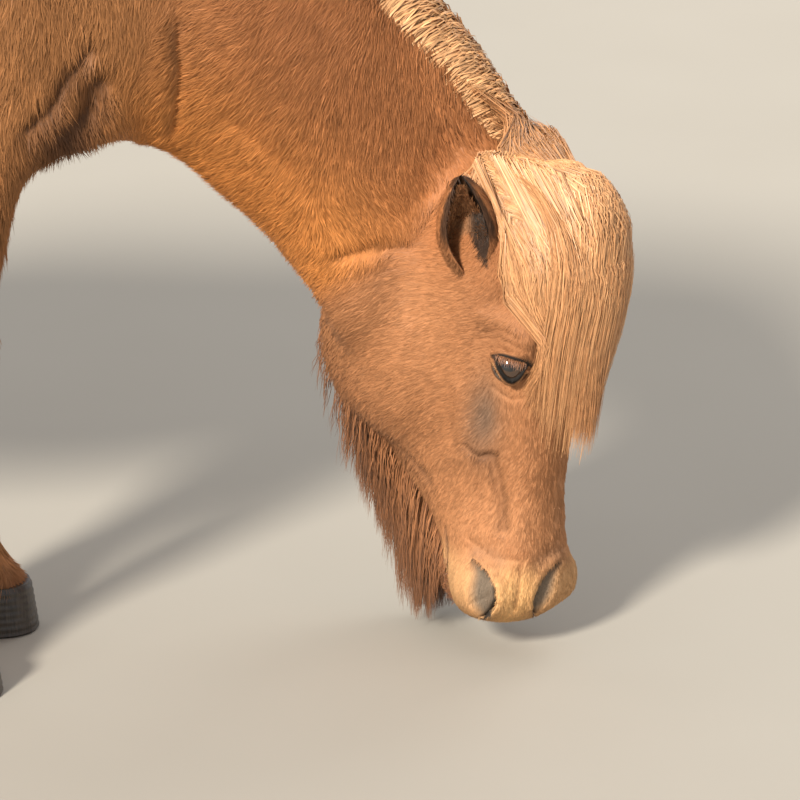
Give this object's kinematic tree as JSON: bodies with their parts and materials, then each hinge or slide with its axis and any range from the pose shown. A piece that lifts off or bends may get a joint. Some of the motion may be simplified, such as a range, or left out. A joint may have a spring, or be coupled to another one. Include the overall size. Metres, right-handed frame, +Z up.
{
  "type": "grazing shetland pony model",
  "caption": "Still, life-size model of a small shaggy pony grazing, head lowered to the ground and turned to its right.",
  "frame": {"origin": "on the floor under the middle of the whole pony's box", "axes": "+X the way the pony stands, from tail to breast; +Y its left side; +Z up"},
  "size_m": [1.53, 0.4304, 0.9159],
  "materials": {
    "coat": "dull hair coat",
    "eye": "wet gloss",
    "horn": "dull horn"
  },
  "bodies": {
    "root": {"head": "coat", "neck": "coat", "torso": "coat", "foreleg_upper_right": "coat", "foreleg_lower_right": "coat", "foreleg_upper_left": "coat", "foreleg_lower_left": "coat", "hindleg_upper_right": "coat", "hindleg_lower_right": "coat", "hindleg_upper_left": "coat", "hindleg_lower_left": "coat", "eye_right": "eye", "eye_left": "eye", "ear_right": "coat", "ear_left": "coat", "hoof_fore_right": "horn", "hoof_fore_left": "horn", "hoof_hind_right": "horn", "hoof_hind_left": "horn", "tail": "coat"}
  },
  "joints": []
}
